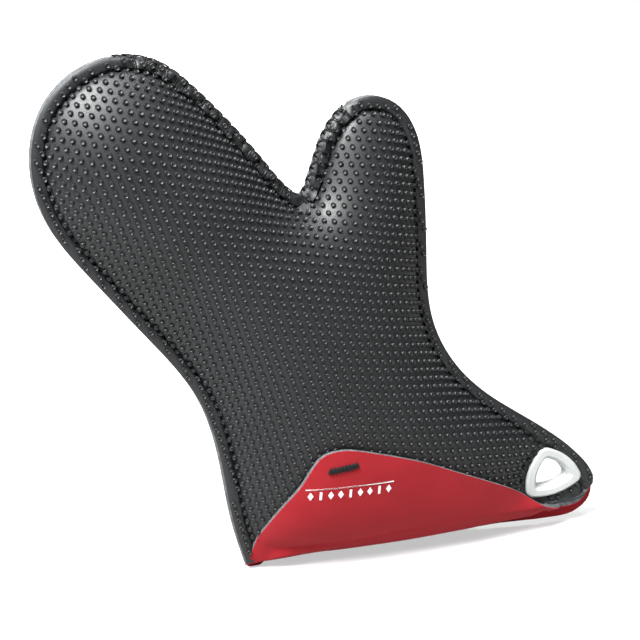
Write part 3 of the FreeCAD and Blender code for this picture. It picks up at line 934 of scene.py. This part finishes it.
def lattice_points(heights, side, low, high):
    """Hexagonal lattice that keeps its moulded pitch on the swollen skin, as springs settle it."""
    steps = int(1.4 * np.hypot(*(high - low)) / DOT_PITCH)
    across = np.array([math.cos(LATTICE_ANGLE), math.sin(LATTICE_ANGLE)]) * DOT_PITCH
    turn = LATTICE_ANGLE + math.radians(60)
    up = np.array([math.cos(turn), math.sin(turn)]) * DOT_PITCH
    middle = np.array([-0.08 * WIDTH, 0.40 * HEIGHT])
    margin = 12 * MM
    index, points = {}, []
    for i in range(-steps, steps):
        for j in range(-steps, steps):
            spot = middle + i * across + j * up
            if ((spot > low - margin) & (spot < high + margin)).all():
                index[i, j] = len(points)
                points.append(spot)
    points = np.array(points)
    pairs = np.array([(k, index[i + di, j + dj]) for (i, j), k in index.items()
                      for di, dj in ((1, 0), (0, 1), (1, -1)) if (i + di, j + dj) in index])
    speed = np.zeros_like(points)
    for _ in range(SETTLING_STEPS):
        place = skin_place(heights, side, points)
        gap = place[pairs[:, 1]] - place[pairs[:, 0]]
        length = np.linalg.norm(gap, axis=1)
        pull = gap * (SPRING * (1 - DOT_PITCH / length))[:, None]
        speed *= DAMPING
        for k, column in ((0, 0), (1, 2)):
            speed[:, k] += np.bincount(pairs[:, 0], pull[:, column], len(points))
            speed[:, k] -= np.bincount(pairs[:, 1], pull[:, column], len(points))
        points = points + speed
    return points[((points > low) & (points < high)).all(1)]


def skin_place(heights, side, points):
    """Places on the skin, without the stitches' squeeze."""
    d = 0.5 * MM
    x, z = points[:, 0], points[:, 1]
    height = sample(heights, x, z)
    slope_x = (sample(heights, x + d, z) - sample(heights, x - d, z)) / (2 * d)
    slope_z = (sample(heights, x, z + d) - sample(heights, x, z - d)) / (2 * d)
    k = LAMINATE / np.sqrt(1 + slope_x ** 2 + slope_z ** 2)
    return np.stack([x - slope_x * k, side * (height + k), z - slope_z * k], axis=1)


# %% All studs of one skin
def dots(name, place, spots, squash, node):
    """All dots of one skin as one piece."""
    x, w = spots[:, 0], spots[:, 1]
    foot, outward = place(x, w, np.full(len(x), LAMINATE))
    helper = np.where(np.abs(outward[:, 2:3]) < 0.9, [[0, 0, 1.0]], [[1.0, 0, 0]])
    across = np.cross(outward, helper)
    across /= np.linalg.norm(across, axis=1)[:, None]
    along = np.cross(outward, across)
    angles = np.arange(DOT_SIDES) * 2 * math.pi / DOT_SIDES
    rings = []
    for radius, height in DOT_RINGS:
        ring = (across[:, None] * np.cos(angles)[None, :, None]
                + along[:, None] * np.sin(angles)[None, :, None]) * (DOT_RADIUS * radius)
        rise = (outward * (DOT_HEIGHT * height * squash)[:, None])[:, None]
        rings.append(foot[:, None] + ring + rise)
    centre = foot + outward * (DOT_HEIGHT * 0.58 * squash)[:, None]
    block = np.concatenate(rings + [centre[:, None]], axis=1)
    per_dot = block.shape[1]
    template = []
    for r in range(len(DOT_RINGS) - 1):
        for k in range(DOT_SIDES):
            q = (k + 1) % DOT_SIDES
            template.append((r * DOT_SIDES + k, r * DOT_SIDES + q,
                             (r + 1) * DOT_SIDES + q, (r + 1) * DOT_SIDES + k))
    last = (len(DOT_RINGS) - 1) * DOT_SIDES
    template += [(last + k, last + (k + 1) % DOT_SIDES, per_dot - 1) for k in range(DOT_SIDES)]
    template.append(tuple(range(DOT_SIDES))[::-1])
    faces = [tuple(v + n * per_dot for v in face) for n in range(len(spots)) for face in template]
    return piece(name, block.reshape(-1, 3), faces, RUBBER, [node], sharp=35.0)


# %% Which lattice places carry a stud
def dot_spots(heights, side, points, border):
    """Lattice points that carry a dot, and how far each is squashed."""
    spots = lattice_points(heights, side, points.min(0), points.max(0))
    spots = spots[within(spots, border)]
    gap, run = edge_distance(spots)
    wrapped = (run > OVERCAST_START) & (run < OVERCAST_END)
    keep = gap > np.where(wrapped, 1.2 * MM, 1.7 * MM)
    keep &= ~within(spots, eyelet_outline(21.2 * MM, 5.4 * MM))
    near = np.array([np.hypot(*(border - p).T).min() for p in spots])
    keep &= near > np.where(wrapped, 1.2 * MM, 1.7 * MM)
    squash = 1 - 0.45 * np.exp(-((gap - ALLOWANCE) / (1.4 * MM)) ** 2)
    squash = np.where(wrapped & (gap < 8 * MM), 0.75, squash)
    return spots[keep], squash[keep]


# %% The front's studs, with none under the tongue, in its fold or on the lip's cut edge
TONGUE_END = 0.34 * WIDTH
front_spots, front_squash = dot_spots(front_heights, -1, front_points, front_border)
start = fold_start(front_spots[:, 0])
top = edge_height(front_spots[:, 0])
end = start - tongue_length(front_spots[:, 0])
covered = (front_spots[:, 1] > start - 3 * MM) & (front_spots[:, 1] < top - 5 * MM)
rolled = (front_spots[:, 1] <= start - 3 * MM) & (front_spots[:, 1] > end + 9 * MM)
lip = (front_spots[:, 0] > TONGUE_END) & (front_spots[:, 1] < end + 9 * MM)
shown = ~(covered & (front_spots[:, 0] < TONGUE_END)) & ~rolled & ~lip
dots("front_grip_dots", front_face, front_spots[shown], front_squash[shown], "front_skin")

# %% The back's studs
back_spots, back_squash = dot_spots(back_heights, 1, back_points, back_border)
dots("back_grip_dots", back_place, back_spots, back_squash, "back_skin")

# %% [markdown]
# ## Lockstitch
# The side seams are lockstitched: short black stitches lie sunk in the groove on each skin. A curve
# object with a bevel would do for one thread, but there are very many stitches, so one function
# sweeps a round thread along many paths at once, tapered where a stitch dives into the sheet.

# %% Round threads along paths
def tubes(paths, radius, sides=8):
    """Points and faces of round threads along paths, tapered at both ends."""
    points, faces = [], []
    for path in paths:
        path = np.asarray(path, float)
        tangent = np.gradient(path, axis=0)
        tangent /= np.linalg.norm(tangent, axis=1)[:, None]
        side = np.cross(tangent, [0.31, 0.22, 0.93])
        side /= np.linalg.norm(side, axis=1)[:, None]
        up = np.cross(tangent, side)
        count = len(path)
        ends = np.minimum(np.arange(count), np.arange(count)[::-1])
        taper = np.where(ends == 0, 0.45, np.where(ends == 1, 0.85, 1.0))
        first = len(points)
        for k in range(count):
            for j in range(sides):
                angle = 2 * math.pi * j / sides
                spoke = side[k] * math.cos(angle) + up[k] * math.sin(angle)
                points.append(path[k] + spoke * radius * taper[k])
        for k in range(count - 1):
            for j in range(sides):
                q = (j + 1) % sides
                faces.append((first + k * sides + j, first + k * sides + q,
                              first + (k + 1) * sides + q, first + (k + 1) * sides + j))
        faces.append(tuple(first + j for j in range(sides))[::-1])
        faces.append(tuple(first + (count - 1) * sides + j for j in range(sides)))
    return np.array(points), faces


# %% Stitches along the groove
THREAD_RADIUS = 0.42 * MM


def lockstitches(name, start, end, node):
    """Short stitches along the groove on both skins."""
    paths = []
    for place in (front_face, back_place):
        for run in np.arange(start, end, STITCH_PITCH):
            along = np.linspace(run + 0.35 * MM, run + STITCH_PITCH - 0.35 * MM, 6)
            spots = edge_point(along, ALLOWANCE)
            arch = np.sin(np.linspace(0, np.pi, 6)) * 0.35 * MM
            path, _ = place(spots[:, 0], spots[:, 1], LAMINATE + arch * 2 - 0.1 * MM)
            paths.append(path)
    points, faces = tubes(paths, THREAD_RADIUS)
    return piece(name, points, faces, BLACK_THREAD, [node])


lockstitches("left_lockstitch", knot_distance[1] - 12 * MM, OVERCAST_START - 2 * MM,
             "seam_thread_left")
lockstitches("right_lockstitch", OVERCAST_END + 2 * MM, knot_distance[EYELET_SIDE] - 4 * MM,
             "seam_thread_right")

# %% [markdown]
# ## Overcast edge
# From the fingertip through the crotch to the thumb tip the edge is overcast: thick loops go from
# one groove over the edge to the other and squeeze the sheet into knobs. The knobs are already in
# the sheet, so here the loops are laid in step with them, three to a knob, a little uneven. Loops
# drawn in a picture would vanish at the outline, where they show most.

# %% One loop over the edge
def overcast_loop(front_run, back_run, lift):
    """One loop of thread from the front groove, over the edge, to the back groove."""
    insets = np.array([8.4, 7.0, 5.0, 3.0, 1.4]) * MM
    share = insets / insets[0]
    front_spot = np.stack([edge_point(front_run + 1.2 * MM * t, i) for t, i in zip(share, insets)])
    back_spot = np.stack([edge_point(back_run - 1.2 * MM * t, i) for t, i in zip(share, insets)])
    depth = LAMINATE + lift * np.array([-0.6, 0.8, 1.0, 1.0, 0.9])
    face, _ = front_face(front_spot[:, 0], front_spot[:, 1], depth)
    rear, _ = back_place(back_spot[:, 0], back_spot[:, 1], depth)
    over = []
    for angle in np.linspace(-62, 62, 7):
        turn = math.radians(angle)
        run = front_run + (back_run - front_run) * (angle + 62) / 124
        rim = edge_point(np.array([run]), 0.5 * MM - math.cos(turn) * 0.9 * MM)[0]
        over.append((rim[0], (HALF_GAP + LAMINATE * 0.8) * math.sin(turn), rim[1]))
    return np.concatenate([face, np.array(over), rear[::-1]])


# %% All loops
loop_paths = []
for k in range(math.ceil(OVERCAST_START / OVERCAST_PITCH), int(OVERCAST_END / OVERCAST_PITCH)):
    front_run = OVERCAST_PITCH * (k + 0.25) + rng.normal(0, 0.3 * MM)
    back_run = OVERCAST_PITCH * (k - 0.25) + rng.normal(0, 0.3 * MM)
    loop_paths.append(overcast_loop(front_run, back_run, 0.4 * MM))
    loop_paths.append(overcast_loop(front_run + 1.1 * MM, back_run + 0.8 * MM, 0.35 * MM))
    loop_paths.append(overcast_loop(front_run, back_run + OVERCAST_PITCH, 0.5 * MM))
loop_points, loop_faces = tubes(loop_paths, 0.45 * MM)
piece("overcast_stitches", loop_points, loop_faces, BLACK_THREAD, ["overcast_thread"])

# %% [markdown]
# ## Bartack
# A close zigzag of thread through the tongue pins it to the palm. It lies on the tongue, so its
# line is drawn flat first and then carried on to the tongue like the pattern.

# %% Size and place of the bartack
TACK_CENTRE = (-0.027 * WIDTH, 69.1 * MM)
TACK_LENGTH = 17.5 * MM
TACK_TEETH = 8
TACK_RISE = 3.2 * MM
TACK_SLOPE = math.tan(math.radians(8))

# %% From a height on the tongue to the pattern
def tongue_pattern(x, z):
    """Pattern height w of the place on the tongue's flat that stands at a height."""
    _, crease_z, _ = fold_section(x, fold_run(x))
    return fold_start(x) - fold_run(x) - (z - fold_start(x) - crease_z)


# %% The zigzag
tack_path = []
for k in range(2 * TACK_TEETH + 1):
    across = (k / (2 * TACK_TEETH) - 0.5) * TACK_LENGTH
    z = TACK_CENTRE[1] + across * TACK_SLOPE + (TACK_RISE / 2 if k % 2 else -TACK_RISE / 2)
    tack_path.append((TACK_CENTRE[0] + across, z))
tack_path = np.array(tack_path)
dense = np.linspace(0, len(tack_path) - 1, 6 * (len(tack_path) - 1) + 1)
tack_x = np.interp(dense, np.arange(len(tack_path)), tack_path[:, 0])
tack_z = np.interp(dense, np.arange(len(tack_path)), tack_path[:, 1])
tack_line, _ = front_face(tack_x, tongue_pattern(tack_x, tack_z), np.full(len(tack_x), -0.25 * MM))
tack_points, tack_faces = tubes([tack_line], 0.95 * MM)
piece("bartack_stitches", tack_points, tack_faces, BLACK_THREAD, ["bartack_thread"])

# %% [markdown]
# ## Eyelet
# Each half is a moulded ring with an eased outer rim, a flat face and a countersunk hole. The rear
# half has the barrel through both panels. A Bevel modifier rounds every edge alike, so the ring is
# swept instead: one profile of radius, corner rounding and depth goes round the three corners.

# %% Sweep a profile round the three corners
def ring(profile, count=144):
    """Closed ring swept round the eyelet. profile is (radius, corner, y) from rim to hole."""
    loops = []
    for radius, corner, y in profile:
        outline = eyelet_outline(radius, corner, count)
        loops.append(np.stack([outline[:, 0], np.full(len(outline), y), outline[:, 1]], axis=1))
    around = len(loops[0])
    points = np.concatenate(loops)
    faces = []
    for r in range(len(loops)):
        s = (r + 1) % len(loops)
        for k in range(around):
            q = (k + 1) % around
            faces.append((r * around + k, r * around + q, s * around + q, s * around + k))
    return points, faces


# %% Front half, in millimetres from rim to hole
face_y = HALF_GAP + 0.6 * LAMINATE
front_profile = [(19.6, 5.3, 0.0), (19.9, 5.4, 0.3), (19.9, 5.4, 1.4), (19.6, 5.3, 2.0),
                 (19.0, 5.0, 2.3), (18.3, 4.8, 2.45), (18.1, 4.7, 2.45), (14.5, 3.4, 2.45),
                 (14.3, 3.3, 2.45), (13.9, 3.1, 2.3), (13.7, 3.0, 2.2), (12.4, 2.3, 0.9),
                 (12.2, 2.2, 0.7), (11.9, 2.0, 0.5), (11.8, 2.0, 0.2), (11.8, 2.0, -1.4),
                 (15.0, 4.2, -1.4), (15.0, 4.2, 0.0)]
points, faces = ring([(r * MM, c * MM, -(face_y + y * MM)) for r, c, y in front_profile])
piece("eyelet_front_ring", points, faces, PLASTIC, ["eyelet_front"], sharp=40)

# %% Rear half, with the barrel
rear_profile = [(18.9, 5.0, 0.0), (19.2, 5.1, 0.3), (19.2, 5.1, 1.3), (18.9, 5.0, 1.9),
                (18.2, 4.8, 2.3), (17.2, 4.6, 2.45), (12.6, 3.7, 2.45), (11.6, 3.4, 2.2),
                (11.0, 3.2, 1.5), (10.9, 3.2, 0.8), (10.9, 3.2, -4.6), (13.0, 3.8, -4.6),
                (13.0, 3.8, 0.0)]
points, faces = ring([(r * MM, c * MM, face_y + y * MM) for r, c, y in rear_profile])
piece("eyelet_rear_ring", points, faces, PLASTIC, ["eyelet_rear"], sharp=40)

# %% [markdown]
# ## Printed mark
# The tongue carries a plain white screen print: a row of lozenges and bars below a thin line, and
# no lettering. A decal picture would need a texture, so the shapes are cut as geometry: a skin of
# ink a tenth of a millimetre proud of the cloth.

# %% Size and place of the mark
MARK_CENTRE = (-0.0125 * WIDTH, 53.4 * MM)
MARK_WIDTH = 54.0 * MM
MARK_HEIGHT = 7.6 * MM

# %% Its shapes, as shares of its height
mark_shapes = []
for k in range(9):
    middle = ((k + 0.5) / 9 - 0.5) * MARK_WIDTH
    half = 0.026 * MARK_WIDTH
    if k % 3 == 1:
        mark_shapes.append([(middle - half * 0.5, -0.45), (middle + half * 0.5, -0.45),
                            (middle + half * 0.5, 0.22), (middle - half * 0.5, 0.22)])
    else:
        mark_shapes.append([(middle - half * 1.2, -0.11), (middle, -0.45),
                            (middle + half * 1.2, -0.11), (middle, 0.22)])
mark_shapes.append([(-0.5 * MARK_WIDTH, 0.42), (0.5 * MARK_WIDTH, 0.42),
                    (0.5 * MARK_WIDTH, 0.50), (-0.5 * MARK_WIDTH, 0.50)])

# %% Lay the ink on the tongue
mark_points, mark_faces = [], []
for outline in mark_shapes:
    corners = []
    for (ax, az), (bx, bz) in zip(outline, outline[1:] + outline[:1]):
        for t in np.arange(0, 1, 0.125):
            corners.append((ax + (bx - ax) * t, (az + (bz - az) * t) * MARK_HEIGHT))
    corners = np.array(corners) + MARK_CENTRE
    w = tongue_pattern(corners[:, 0], corners[:, 1])
    count = len(corners)
    first = len(mark_points)
    for depth in (-0.25 * MM, 0.1 * MM):
        mark_points += list(front_face(corners[:, 0], w, np.full(count, depth))[0])
    mark_faces.append([first + k for k in range(count)][::-1])
    mark_faces.append([first + count + k for k in range(count)])
    for k in range(count):
        q = (k + 1) % count
        mark_faces.append([first + k, first + q, first + count + q, first + count + k])
piece("tongue_print", mark_points, mark_faces, INK)

# %% [markdown]
# ## Studio
# The mitt stands on a plain pale floor in soft light: a large key from the upper left, a weaker
# light from above, a faint fill, and one that keeps the floor behind it bright. Area lights give
# soft shadows. The floor adds a glow that only the camera sees, so it looks white and throws no
# extra light up at the mitt.

# %% Area lights
def area_light(name, place, target, power, size_):
    data = bpy.data.lights.new(name, "AREA")
    data.energy = power
    data.size = size_
    obj = bpy.data.objects.new(name, data)
    bpy.context.scene.collection.objects.link(obj)
    obj.location = place
    obj.rotation_euler = (Vector(target) - Vector(place)).to_track_quat("-Z", "Y").to_euler()
    return obj


area_light("key", (-0.80, -0.55, 1.35), (-0.02, 0, 0.16), 88.0, 0.7)
area_light("top", (0.25, -0.35, 1.7), (0.03, 0, 0.2), 12.0, 0.4)
area_light("fill", (0.9, -1.3, 0.6), (0, 0, 0.12), 1.5, 1.0)
area_light("far_floor", (-0.6, 2.6, 2.4), (-0.8, 4.2, 0.0), 560.0, 2.5)

# %% Dim light from all round
world = bpy.data.worlds.new("studio")
bpy.context.scene.world = world
world.use_nodes = True
world.node_tree.nodes["Background"].inputs["Color"].default_value = (1, 1, 1, 1)
world.node_tree.nodes["Background"].inputs["Strength"].default_value = 0.16
bpy.context.scene.view_settings.view_transform = "Standard"

# %% The floor
floor_mesh = bpy.data.meshes.new("floor")
FLOOR_HALF = 14.0
floor_mesh.from_pydata([(-FLOOR_HALF, -FLOOR_HALF, 0), (FLOOR_HALF, -FLOOR_HALF, 0),
                        (FLOOR_HALF, FLOOR_HALF, 0), (-FLOOR_HALF, FLOOR_HALF, 0)],
                       [], [(0, 1, 2, 3)])
floor = bpy.data.objects.new("floor", floor_mesh)
bpy.context.scene.collection.objects.link(floor)
floor_nodes = Nodes("pale_floor")
seen = floor_nodes.add("ShaderNodeLightPath")
lift = floor_nodes.add("ShaderNodeMath", {"operation": "MULTIPLY"})
lift.inputs[1].default_value = 0.52
floor_nodes.tree.links.new(seen.outputs["Is Camera Ray"], lift.inputs[0])
floor_shader = floor_nodes.add("ShaderNodeBsdfPrincipled", Base_Color=linear("#A6A6A6"),
                               Roughness=0.95, Emission_Color=(1, 1, 1, 1),
                               Emission_Strength=lift.outputs["Value"])
floor_mesh.materials.append(floor_nodes.finish(floor_shader.outputs["BSDF"]))

# %% [markdown]
# ## Camera
# The camera stands a little to the left of the palm and above it, and looks at the middle of the
# mitt. The lens is worked out from the width that the frame takes in at that distance.

# %% Camera
AZIMUTH = math.radians(-20)
ELEVATION = math.radians(15)
DISTANCE = 0.95
target = Vector((-0.0112, 0.0, 0.1498))
camera_data = bpy.data.cameras.new("camera")
camera = bpy.data.objects.new("camera", camera_data)
bpy.context.scene.collection.objects.link(camera)
away = Vector((math.sin(AZIMUTH) * math.cos(ELEVATION), -math.cos(AZIMUTH) * math.cos(ELEVATION),
               math.sin(ELEVATION)))
camera.location = target + away * DISTANCE
camera.rotation_euler = (-away).to_track_quat("-Z", "Y").to_euler()
camera_data.sensor_width = 36.0
FRAME_WIDTH = 640 / 1700 * 1.0
camera_data.lens = 36.0 * DISTANCE / FRAME_WIDTH
bpy.context.scene.camera = camera
